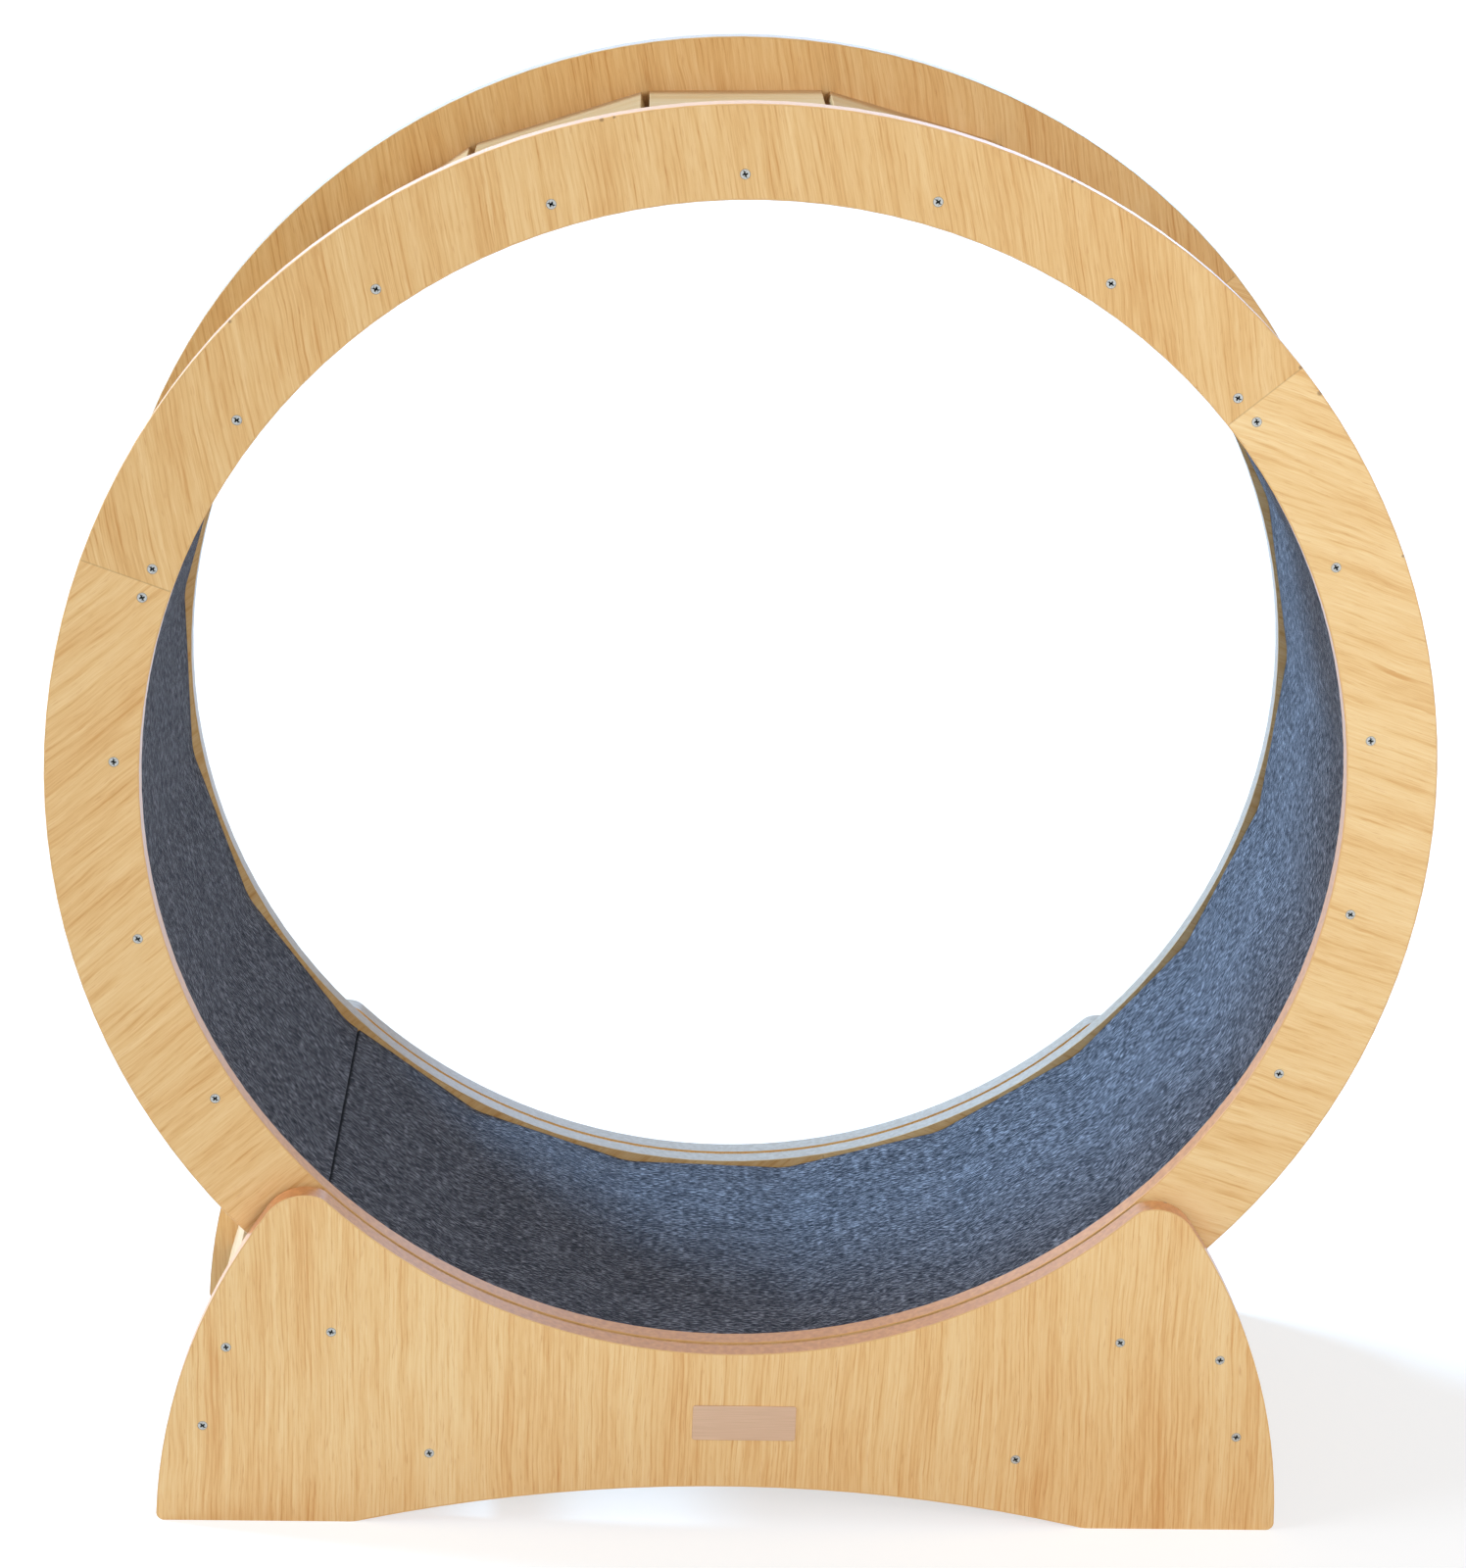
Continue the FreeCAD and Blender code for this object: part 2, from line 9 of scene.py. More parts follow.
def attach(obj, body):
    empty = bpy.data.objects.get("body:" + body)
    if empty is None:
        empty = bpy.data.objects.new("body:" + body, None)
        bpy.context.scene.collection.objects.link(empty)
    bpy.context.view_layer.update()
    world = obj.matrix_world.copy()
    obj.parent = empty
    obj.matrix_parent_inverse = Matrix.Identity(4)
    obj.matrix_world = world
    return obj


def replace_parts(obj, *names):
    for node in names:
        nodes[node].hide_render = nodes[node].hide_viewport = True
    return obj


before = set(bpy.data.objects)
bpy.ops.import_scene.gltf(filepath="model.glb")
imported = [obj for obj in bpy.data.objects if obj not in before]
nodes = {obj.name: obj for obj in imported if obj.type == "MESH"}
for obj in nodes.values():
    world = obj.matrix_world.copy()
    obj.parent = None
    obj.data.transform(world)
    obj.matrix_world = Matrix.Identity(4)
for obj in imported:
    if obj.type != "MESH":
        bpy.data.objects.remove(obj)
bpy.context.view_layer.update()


# ---- Ring segments ----------------------------------------------------------
# Each ring is three pieces of 15 mm board faced with oak veneer and clear
# lacquer, butted end to end. Every piece was cut with its grain running
# through the middle of its arc, so the grain turns a corner at each joint.
AXIS_HEIGHT = 0.5755
RING_FACE = 0.171
SEGMENTS = 3
SEGMENT_SWEEP = math.radians(360 / SEGMENTS)
FIRST_JOINT = math.radians(41.2)
# Each segment's dark, middle and light tone, and the spacing of its growth lines in mm. The right-hand
# segment is lighter and the top one darker: partly their own tone, partly painted light falling from the
# right.
RING_OAK_WITH_PAINTED_LIGHT = (("#D09856", "#E5B879", "#EFC98F"), ("#D79F5C", "#EABE80", "#F4CF95"),
            ("#DCA765", "#F0C88B", "#F9D8A1"))
RING_STREAKS = (5.0, 9.0, 10.0)
# Chips in the front edge: the angle round the axle in degrees and the width in mm.
CHIP_RADIUS = 0.499
CHIPPED_BOARD = "#86603C"
EDGE_CHIPS = ((103.9, 4.0), (102.9, 2.5), (65.7, 2.5), (41.3, 4.0), (38.6, 5.0), (22.9, 3.0), (137.9, 3.5))


def linear(hex_colour):
    """An sRGB hex value as the linear colour that a shader takes."""
    parts = [int(hex_colour[i:i + 2], 16) / 255 for i in (1, 3, 5)]
    return [p / 12.92 if p <= 0.04045 else ((p + 0.055) / 1.055) ** 2.4 for p in parts] + [1.0]


def new_material(name):
    material = bpy.data.materials.new(name)
    material.use_nodes = True
    return material, material.node_tree, material.node_tree.nodes["Principled BSDF"]


def add(tree, kind, sockets=None, stops=None, **settings):
    """Add a node with its settings, its sockets (a value or what feeds it) and a ramp's stops."""
    node = tree.nodes.new("ShaderNode" + kind)
    for name, value in settings.items():
        setattr(node, name, value)
    for socket, value in (sockets or {}).items():
        if isinstance(value, bpy.types.NodeSocket):
            tree.links.new(value, node.inputs[socket])
        else:
            node.inputs[socket].default_value = value
    for index, (place, colour) in enumerate(stops or ()):
        elements = node.color_ramp.elements
        stop = elements[index] if index < 2 else elements.new(place)
        stop.position, stop.color = place, linear(colour)
    return node


def finish_with(name, material):
    """Give a CAD node its finish."""
    slots = nodes[name].material_slots
    for slot in slots:
        slot.material = material


def chipped(tree, hub, surface):
    """Brown board shows where the front edge of the ring has lost a few millimetres of its facing."""
    for angle, width in EDGE_CHIPS:
        turn = math.radians(angle)
        spot = (CHIP_RADIUS * math.cos(turn), -RING_FACE, CHIP_RADIUS * math.sin(turn))
        away = add(tree, "VectorMath", {0: hub, 1: spot}, operation="DISTANCE")
        lost = add(tree, "MapRange", {"Value": away.outputs["Value"], "From Min": width * 0.0002,
                                      "From Max": width * 0.0005, "To Min": 0.7, "To Max": 0.0})
        surface = add(tree, "Mix", {0: lost.outputs[0], 6: surface, 7: linear(CHIPPED_BOARD)},
                      data_type="RGBA").outputs[2]
    return surface


def stretched_noise(tree, place, length, width):
    """Noise drawn out along X: length and width of one feature in mm. Along Y it changes slowly."""
    scale = add(tree, "Mapping", {0: place, "Scale": (1000 / length, 12, 1000 / width)})
    return add(tree, "TexNoise", {"Vector": scale.outputs[0], "Scale": 1.0, "Detail": 2.0}).outputs["Fac"]


def oak_figure(tree, place, streak, tones):
    """Colour, pores and tone of oak with its grain along the X of place and a line every streak mm."""
    # The grain wanders 3 mm to each side over a hand's breadth, and half a millimetre over a finger's.
    sway = add(tree, "TexNoise", {"Vector": place, "Scale": 7.0, "Detail": 1.5})
    bent = add(tree, "VectorMath", {0: sway.outputs["Color"], 1: (0, 0, 0.012), 2: place},
               operation="MULTIPLY_ADD")
    ripple = add(tree, "TexNoise", {"Vector": place, "Scale": 40.0, "Detail": 2.0})
    grain_line = add(tree, "VectorMath", {0: ripple.outputs["Color"], 1: (0, 0, 0.0018), 2: bent.outputs[0]},
                     operation="MULTIPLY_ADD").outputs[0]

    # Broad bands, streaks and fine fibre: length and width in mm, and how much each adds to the tone.
    layers = ((380, 34, 0.52), (170, streak * 1.4, 0.46), (60, 2.2, 0.36), (26, 0.9, 0.50))
    tone = 0.5 - sum(gain for length, width, gain in layers) / 2
    for length, width, gain in layers:
        fibre = stretched_noise(tree, grain_line, length, width)
        tone = add(tree, "Math", {0: fibre, 1: gain, 2: tone}, operation="MULTIPLY_ADD").outputs[0]

    # Each growth line is thin and darker, drifts to and fro, and fades out in places.
    part = add(tree, "SeparateXYZ", {0: grain_line})
    drift = add(tree, "Math", {0: stretched_noise(tree, grain_line, 260, 24), 1: 3.0}, operation="MULTIPLY")
    count = add(tree, "Math", {0: part.outputs["Z"], 1: 1000 / streak, 2: drift.outputs[0]},
                operation="MULTIPLY_ADD")
    fold = add(tree, "Math", {0: count.outputs[0], 1: 0.5}, operation="PINGPONG")
    line = add(tree, "MapRange", {"Value": fold.outputs[0], "From Min": 0.0, "From Max": 0.20,
                                  "To Min": 1.0, "To Max": 0.0})
    fading = add(tree, "MapRange", {"Value": stretched_noise(tree, grain_line, 60, streak * 1.6),
                                    "From Min": 0.36, "From Max": 0.64})
    drawn = add(tree, "Math", {0: line.outputs[0], 1: fading.outputs[0]}, operation="MULTIPLY")
    tone = add(tree, "Math", {0: drawn.outputs[0], 1: -0.26, 2: tone}, operation="MULTIPLY_ADD").outputs[0]
    colour = add(tree, "ValToRGB", {"Fac": tone}, stops=list(zip((0.18, 0.46, 0.70), tones)))

    # Open pores are dark dashes, 14 mm by 1 mm: drawn wider than real ones, so that they show.
    pore = stretched_noise(tree, grain_line, 14, 0.9)
    depth = add(tree, "MapRange", {"Value": pore, "From Min": 0.60, "From Max": 0.76,
                                   "To Min": 0.0, "To Max": 0.42})
    shade = add(tree, "Mix", {0: depth.outputs[0], 6: colour.outputs[0], 7: linear("#D19A62")},
                data_type="RGBA", blend_type="MULTIPLY")
    return shade.outputs[2], depth.outputs[0], tone


def lacquer(tree, wood, surface, pores, tone):
    """Thin clear lacquer gives the oak a satin gloss, duller on light grain, and leaves the pores open."""
    bump = add(tree, "Bump", {"Height": pores, "Strength": 0.25, "Distance": -0.0002})
    gloss = add(tree, "MapRange", {"Value": tone, "To Min": 0.44, "To Max": 0.54})
    tree.links.new(surface, wood.inputs["Base Color"])
    tree.links.new(bump.outputs[0], wood.inputs["Normal"])
    tree.links.new(gloss.outputs[0], wood.inputs["Roughness"])
    wood.inputs["Specular IOR Level"].default_value = 0.4


def oak_veneer(name, grain, tones, streak, shift=(0, 0, 0), joints=False):
    """Lacquered oak veneer. grain is its direction in radians, turned from +X towards +Z."""
    material, tree, wood = new_material(name)
    place = add(tree, "TexCoord").outputs["Object"]
    hub = add(tree, "Mapping", {0: place, "Location": (0, 0, -AXIS_HEIGHT)})
    along = add(tree, "Mapping", {0: hub.outputs[0], "Rotation": (0, grain, 0), "Location": shift})
    surface, pores, tone = oak_figure(tree, along.outputs[0], streak, tones)

    if joints:
        # A hairline of glue and shadow on the two butt joints of the piece.
        turned = add(tree, "SeparateXYZ", {0: along.outputs[0]})
        across = add(tree, "Math", {0: turned.outputs["Z"]}, operation="ABSOLUTE")
        near = add(tree, "Math", {0: across.outputs[0], 1: -math.cos(SEGMENT_SWEEP / 2)},
                   operation="MULTIPLY")
        gap = add(tree, "Math", {0: turned.outputs["X"], 1: math.sin(SEGMENT_SWEEP / 2),
                                 2: near.outputs[0]}, operation="MULTIPLY_ADD")
        hair = add(tree, "MapRange", {"Value": gap.outputs[0], "From Min": 0.0002, "From Max": 0.0007,
                                      "To Min": 0.32, "To Max": 0.0})
        joined = add(tree, "Mix", {0: hair.outputs[0], 6: surface, 7: linear("#8A6138")}, data_type="RGBA")
        surface = chipped(tree, hub.outputs[0], joined.outputs[2])

    lacquer(tree, wood, surface, pores, tone)
    return material


for face_name in ("front", "rear"):
    for number in range(SEGMENTS):
        middle = FIRST_JOINT + (number + 0.5) * SEGMENT_SWEEP
        oak = oak_veneer(f"oak_veneer_{face_name}_ring_{number + 1}", middle, RING_OAK_WITH_PAINTED_LIGHT[number],
                         RING_STREAKS[number], joints=True)
        finish_with(f"{face_name}_ring_segment_{number + 1}", oak)


# ---- Ring edge banding ------------------------------------------------------
# A 1 mm strip of smooth plastic is glued round the outer and inner edge of every segment and trimmed flush.
# The plastic is tan; at the rear its colour is painted grey-brown, a painted cool reflection of the daylight
# behind the wheel. It shines white at a low angle, and the front one is chipped in a few places.
BAND_TAN = ("#D38A4A", "#DE9655", "#E9A361")
# The rear tones: the same tan banding painted grey-brown, a painted cool reflection of daylight.
BAND_REAR_PAINTED_REFLECTION = ("#958677", "#A09183", "#AB9D90")
BAND_END = "#E8BA7A"


def edge_banding(name, tones):
    """Plastic banding. What faces along the axle is its trimmed side, as pale as the oak beside it."""
    material, tree, band = new_material(name)
    coordinates = add(tree, "TexCoord")
    place = coordinates.outputs["Object"]
    hub = add(tree, "Mapping", {0: place, "Location": (0, 0, -AXIS_HEIGHT)})
    mottle = add(tree, "TexNoise", {"Vector": place, "Scale": 240.0, "Detail": 3.0})
    tint = add(tree, "ValToRGB", {"Fac": mottle.outputs["Fac"]}, stops=list(zip((0.3, 0.5, 0.7), tones)))
    facing = add(tree, "SeparateXYZ", {0: coordinates.outputs["Normal"]})
    sideways = add(tree, "Math", {0: facing.outputs["Y"]}, operation="ABSOLUTE")
    end = add(tree, "MapRange", {"Value": sideways.outputs[0], "From Min": 0.3, "From Max": 0.9})
    surface = add(tree, "Mix", {0: end.outputs[0], 6: tint.outputs[0], 7: linear(BAND_END)}, data_type="RGBA")
    surface = chipped(tree, hub.outputs[0], surface.outputs[2])
    gloss = add(tree, "MapRange", {"Value": mottle.outputs["Fac"], "To Min": 0.34, "To Max": 0.46})
    bump = add(tree, "Bump", {"Height": mottle.outputs["Fac"], "Strength": 0.05, "Distance": 0.0003})
    tree.links.new(surface, band.inputs["Base Color"])
    tree.links.new(gloss.outputs[0], band.inputs["Roughness"])
    tree.links.new(bump.outputs[0], band.inputs["Normal"])
    band.inputs["Specular IOR Level"].default_value = 0.35
    band.inputs["Coat Weight"].default_value = 0.4
    band.inputs["Coat Roughness"].default_value = 0.15
    band.inputs["Sheen Weight"].default_value = 0.5
    band.inputs["Sheen Roughness"].default_value = 0.3
    band.inputs["Sheen Tint"].default_value = linear("#E4E8F6")
    return material


# The rear copy of the banding is painted greyer: a painted reflection, not a second plastic.
bandings = {"front": edge_banding("tan_edge_banding", BAND_TAN),
            "rear": edge_banding("edge_banding_painted_cool_reflection", BAND_REAR_PAINTED_REFLECTION)}
for face_name, banding in bandings.items():
    finish_with(f"{face_name}_ring_edge_bands", banding)


# ---- Slats ------------------------------------------------------------------
# Twenty-one straight boards tie the rings together and carry the carpet. Their
# grain runs round the drum, across the board, and each was cut from another
# place, so each has a tone of its own. The long edges are banded.
SLATS = 21
SLAT_PITCH = 2 * math.pi / SLATS
SLAT_RADIUS = 0.4512
SLAT_OAK = ("#BD905D", "#C7A172", "#D1B088")
SLAT_EDGE = "#BF9B6B"
SLAT_STREAK = 5.0


def slat_veneer(name, tones):
    """Lacquered oak veneer with its grain round the drum, and another cut and shade for every slat."""
    material, tree, wood = new_material(name)
    coordinates = add(tree, "TexCoord")
    place = add(tree, "Mapping", {0: coordinates.outputs["Object"], "Location": (0, 0, -AXIS_HEIGHT)})
    part = add(tree, "SeparateXYZ", {0: place.outputs[0]})
    angle = add(tree, "Math", {0: part.outputs["Z"], 1: part.outputs["X"]}, operation="ARCTAN2")
    turn = add(tree, "Math", {0: angle.outputs[0], 1: 1 / SLAT_PITCH, 2: 0.5 - FIRST_JOINT / SLAT_PITCH},
               operation="MULTIPLY_ADD")
    which = add(tree, "Math", {0: turn.outputs[0]}, operation="FLOOR")
    wrapped = add(tree, "Math", {0: which.outputs[0], 1: float(SLATS), 2: 0.0}, operation="WRAP")
    own = add(tree, "TexWhiteNoise", {"W": wrapped.outputs[0]}, noise_dimensions="1D")

    round_drum = add(tree, "Math", {0: angle.outputs[0], 1: SLAT_RADIUS}, operation="MULTIPLY")
    seat = add(tree, "CombineXYZ", {0: round_drum.outputs[0], 2: part.outputs["Y"]})
    offset = add(tree, "VectorMath", {0: own.outputs["Color"], 1: (3.0, 0.0, 3.0), 2: seat.outputs[0]},
                 operation="MULTIPLY_ADD")
    figure, pores, tone = oak_figure(tree, offset.outputs[0], SLAT_STREAK, tones)
    own_shade = add(tree, "MapRange", {"Value": own.outputs["Value"], "To Min": 0.90, "To Max": 1.04})
    colour = add(tree, "VectorMath", {0: figure, 1: own_shade.outputs[0]}, operation="MULTIPLY")

    # The long edges face round the drum, neither outwards nor along it.
    outward = add(tree, "VectorMath", {0: place.outputs[0], 1: (1, 0, 1)}, operation="MULTIPLY")
    radial = add(tree, "VectorMath", {0: outward.outputs[0]}, operation="NORMALIZE")
    facing = add(tree, "VectorMath", {0: radial.outputs[0], 1: coordinates.outputs["Normal"]},
                 operation="DOT_PRODUCT")
    flat = add(tree, "Math", {0: facing.outputs["Value"]}, operation="ABSOLUTE")
    edge = add(tree, "MapRange", {"Value": flat.outputs[0], "From Min": 0.5, "From Max": 0.75,
                                  "To Min": 1.0, "To Max": 0.0})
    surface = add(tree, "Mix", {0: edge.outputs[0], 6: colour.outputs[0], 7: linear(SLAT_EDGE)},
                  data_type="RGBA")
    lacquer(tree, wood, surface.outputs[2], pores, tone)
    return material


slat_oak = slat_veneer("oak_veneer_slats", SLAT_OAK)
slat_names = [f"slat_{number:02d}" for number in range(1, SLATS + 1)]
for name in slat_names:
    finish_with(name, slat_oak)


# ---- Carpet -----------------------------------------------------------------
# One strip of needle-punched felt carpet, 7.5 mm thick, glued inside the slats
# with its two ends meeting at a seam. Grey-blue and dark fibres are mixed, and
# they lie round the drum.
CARPET_APOTHEM = 0.4362
CARPET_THICK = 0.0075
CARPET_HALF_WIDTH = 0.1555
CARPET_SEAM = math.radians(227.1)
CARPET_SEAM_GAP = 0.0008
CARPET_LENGTH = 2 * SLATS * (CARPET_APOTHEM + CARPET_THICK / 2) * math.tan(math.pi / SLATS)
CARPET_CORNER = 0.007
PILE_UNEVEN = 0.0005


def carpet_strip():
    """The strip's running face: a prism with soft corners, cut open at the seam. It has no thickness yet."""
    bm = bmesh.new()
    corner = CARPET_APOTHEM / math.cos(SLAT_PITCH / 2)
    bmesh.ops.create_circle(bm, cap_ends=False, segments=SLATS, radius=corner)
    bmesh.ops.bevel(bm, geom=bm.verts[:] + bm.edges[:], offset=CARPET_CORNER, offset_type="OFFSET",
                    affect="VERTICES", segments=3, profile=0.5, material=-1)
    straight = [e for e in bm.edges if e.calc_length() > 0.05]
    bmesh.ops.subdivide_edges(bm, edges=straight, cuts=11)
    # The circle lies in XY with its first corner on +X: stand it up, and turn a corner to a slat gap.
    stand = Matrix.Rotation(math.pi / 2, 4, "X")
    spin = Matrix.Rotation(-(FIRST_JOINT + SLAT_PITCH / 2), 4, "Y")
    place = Matrix.Translation((0, -CARPET_HALF_WIDTH, AXIS_HEIGHT))
    bmesh.ops.transform(bm, matrix=place @ spin @ stand, verts=bm.verts[:])
    drawn = bmesh.ops.extrude_edge_only(bm, edges=bm.edges[:])
    moved = [v for v in drawn["geom"] if isinstance(v, bmesh.types.BMVert)]
    bmesh.ops.translate(bm, vec=(0, 2 * CARPET_HALF_WIDTH, 0), verts=moved)
    long_edges = [e for e in bm.edges if e.calc_length() > CARPET_HALF_WIDTH]
    bmesh.ops.subdivide_edges(bm, edges=long_edges, cuts=44, use_grid_fill=True)

    along_seam = Vector((math.cos(CARPET_SEAM), 0, math.sin(CARPET_SEAM)))
    across_seam = Vector((-math.sin(CARPET_SEAM), 0, math.cos(CARPET_SEAM)))
    hub = Vector((0, 0, AXIS_HEIGHT))
    for side in (-0.5, 0.5):
        seam_side = [f for f in bm.faces if (f.calc_center_median() - hub).dot(along_seam) > 0]
        geom = set(seam_side)
        geom |= {e for f in seam_side for e in f.edges}
        geom |= {v for f in seam_side for v in f.verts}
        bmesh.ops.bisect_plane(bm, geom=list(geom), dist=1e-6, plane_no=across_seam,
                               plane_co=hub + across_seam * side * CARPET_SEAM_GAP)
    in_gap = [f for f in bm.faces if (f.calc_center_median() - hub).dot(along_seam) > 0
              and abs((f.calc_center_median() - hub).dot(across_seam)) < CARPET_SEAM_GAP / 2]
    bmesh.ops.delete(bm, geom=in_gap, context="FACES")
    bmesh.ops.recalc_face_normals(bm, faces=bm.faces[:])
    middle = bm.faces[0].calc_center_median() - hub
    if bm.faces[0].normal.dot(Vector((middle.x, 0, middle.z))) > 0:
        bmesh.ops.reverse_faces(bm, faces=bm.faces[:])
    # The pile is never quite level. It rises a little from the glued back, and never sinks.
    for vert in bm.verts:
        inward = Vector((-vert.co.x, 0, AXIS_HEIGHT - vert.co.z)).normalized()
        rise = 0.5 + 0.35 * noise.noise(vert.co * 45) + 0.35 * noise.noise(vert.co * 160)
        vert.co += inward * PILE_UNEVEN * rise
    return bm


bm = carpet_strip()
flat_map = bm.loops.layers.uv.new("round_and_across")
for face in bm.faces:
    centre = face.calc_center_median()
    face_turn = (math.atan2(centre.z - AXIS_HEIGHT, centre.x) - CARPET_SEAM) % (2 * math.pi)
    for loop in face.loops:
        co = loop.vert.co
        turn = (math.atan2(co.z - AXIS_HEIGHT, co.x) - CARPET_SEAM) % (2 * math.pi)
        turn += 2 * math.pi * round((face_turn - turn) / (2 * math.pi))
        loop[flat_map].uv = (turn * CARPET_APOTHEM, co.y)
mesh = bpy.data.meshes.new("running_carpet")
bm.to_mesh(mesh)
bm.free()
carpet = bpy.data.objects.new("running_carpet", mesh)
bpy.context.scene.collection.objects.link(carpet)
for polygon in mesh.polygons:
    polygon.use_smooth = True
wall = carpet.modifiers.new("carpet_thickness", "SOLIDIFY")
wall.thickness = CARPET_THICK
wall.offset = -1.0
soft_edge = carpet.modifiers.new("carpet_edge", "BEVEL")
soft_edge.width = 0.0012
soft_edge.segments = 2
soft_edge.limit_method = "ANGLE"
soft_edge.angle_limit = math.radians(50)


def felt_carpet(name):
    """Needle-punched polypropylene felt: matt, speckled, with a faint cool sheen where fibres stand up."""
    material, tree, felt = new_material(name)
    flat = add(tree, "UVMap", uv_map="round_and_across").outputs[0]
    # Fibres lie round the drum and bend to and fro a little. They are drawn about 1 mm wide, coarser
    # than real ones, so that they show.
    sway = add(tree, "TexNoise", {"Vector": flat, "Scale": 55.0, "Detail": 1.0})
    laid = add(tree, "VectorMath", {0: sway.outputs["Color"], 1: (0.0, 0.005, 0.0), 2: flat},
               operation="MULTIPLY_ADD")
    layers = ((34, 14, 0.45), (7.5, 1.8, 1.2), (5.0, 0.9, 2.2))
    tone = 0.5 - sum(gain for length, width, gain in layers) / 2
    for length, width, gain in layers:
        scale = add(tree, "Mapping", {0: laid.outputs[0], "Scale": (1000 / length, 1000 / width, 1)})
        fibre = add(tree, "TexNoise", {"Vector": scale.outputs[0], "Scale": 1.0, "Detail": 2.0})
        tone = add(tree, "Math", {0: fibre.outputs["Fac"], 1: gain, 2: tone},
                   operation="MULTIPLY_ADD").outputs[0]
    colour = add(tree, "ValToRGB", {"Fac": tone},
                 stops=((0.15, "#1D1D22"), (0.4, "#3C3C43"), (0.6, "#60606A"), (0.88, "#A4A6B0")))
    # The two ends meet in a dark line, which the pile closes over in places.
    part = add(tree, "SeparateXYZ", {0: flat})
    far = add(tree, "Math", {0: CARPET_LENGTH, 1: part.outputs["X"]}, operation="SUBTRACT")
    near = add(tree, "Math", {0: part.outputs["X"], 1: far.outputs[0]}, operation="MINIMUM")
    closed = add(tree, "TexNoise", {"Vector": flat, "Scale": 150.0, "Detail": 1.0})
    reach = add(tree, "MapRange", {"Value": closed.outputs["Fac"], "From Min": 0.35, "From Max": 0.65,
                                   "To Min": 0.0006, "To Max": 0.0034})
    inside = add(tree, "Math", {0: near.outputs[0], 1: reach.outputs[0]}, operation="DIVIDE")
    dark = add(tree, "MapRange", {"Value": inside.outputs[0], "From Min": 0.4, "From Max": 1.0,
                                  "To Min": 0.8, "To Max": 0.0})
    seamed = add(tree, "Mix", {0: dark.outputs[0], 6: colour.outputs[0], 7: linear("#17191D")},
                 data_type="RGBA")
    bump = add(tree, "Bump", {"Height": tone, "Strength": 0.7, "Distance": 0.0012})
    tree.links.new(seamed.outputs[2], felt.inputs["Base Color"])
    tree.links.new(bump.outputs[0], felt.inputs["Normal"])
    felt.inputs["Roughness"].default_value = 0.95
    felt.inputs["Specular IOR Level"].default_value = 0.15
    felt.inputs["Sheen Weight"].default_value = 0.15
    felt.inputs["Sheen Roughness"].default_value = 0.5
    felt.inputs["Sheen Tint"].default_value = linear("#B9CBE4")
    return material


# The strip's underside and its cut edge show the coarse brown jute that the felt is punched into.
backing, tree, jute = new_material("woven_jute_backing")
place = add(tree, "TexCoord").outputs["Object"]
weave = add(tree, "TexNoise", {"Vector": place, "Scale": 500.0, "Detail": 2.0})
thread = add(tree, "ValToRGB", {"Fac": weave.outputs["Fac"]}, stops=((0.35, "#A88558"), (0.65, "#C7A678")))
tree.links.new(thread.outputs[0], jute.inputs["Base Color"])
jute.inputs["Roughness"].default_value = 0.9
wall.material_offset = 1
mesh.materials.append(felt_carpet("felt_carpet"))
mesh.materials.append(backing)
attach(carpet, "drum")
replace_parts(carpet, "carpet")


# ---- Screws -----------------------------------------------------------------
# Zinc-plated countersunk wood screws with a cross recess hold the slats to the rings, one to a slat and two
# where a slat bridges a joint, and the boards to the base plates. The plating is pale; the recess and the rim
# are painted darker, partly dirt and partly painted shade.
SCREW_SINK = 0.0002
SCREW_HEAD_RADIUS = 0.0038
SCREW_RIM = 0.0005
RECESS_REACH = 0.0020
RECESS_ARM = 0.0009
RECESS_DEPTH = 0.0006
# Radius and depth of the head's rim, the foot of its cone, the end of the shank and the point.
SCREW_PROFILE = ((SCREW_HEAD_RADIUS, 0.0003), (0.0020, 0.0026), (0.0020, 0.0348), (0.0001, 0.0398))
JOINT_SCREW_TURN = math.radians(1.41)
PLATE_FACE = 0.190
PLATE_SCREWS = ((0.3700, 0.1424), (0.3871, 0.0782), (0.2934, 0.1558), (0.2200, 0.0574))
METAL_UNEVEN = 0.08


def bare_metal(name, colour, roughness, metallic=1.0):
    """A metal surface whose gloss is a little uneven, in patches 2.5 mm across."""
    material, tree, metal = new_material(name)
    place = add(tree, "TexCoord").outputs["Object"]
    grit = add(tree, "TexNoise", {"Vector": place, "Scale": 1000 / 2.5, "Detail": 3.0})
    gloss = add(tree, "MapRange", {"Value": grit.outputs["Fac"], "To Min": roughness - METAL_UNEVEN,
                                   "To Max": roughness + METAL_UNEVEN})
    bump = add(tree, "Bump", {"Height": grit.outputs["Fac"], "Strength": 0.08, "Distance": 0.0002})
    tree.links.new(gloss.outputs[0], metal.inputs["Roughness"])
    tree.links.new(bump.outputs[0], metal.inputs["Normal"])
    metal.inputs["Base Color"].default_value = linear(colour)
    metal.inputs["Metallic"].default_value = metallic
    return material


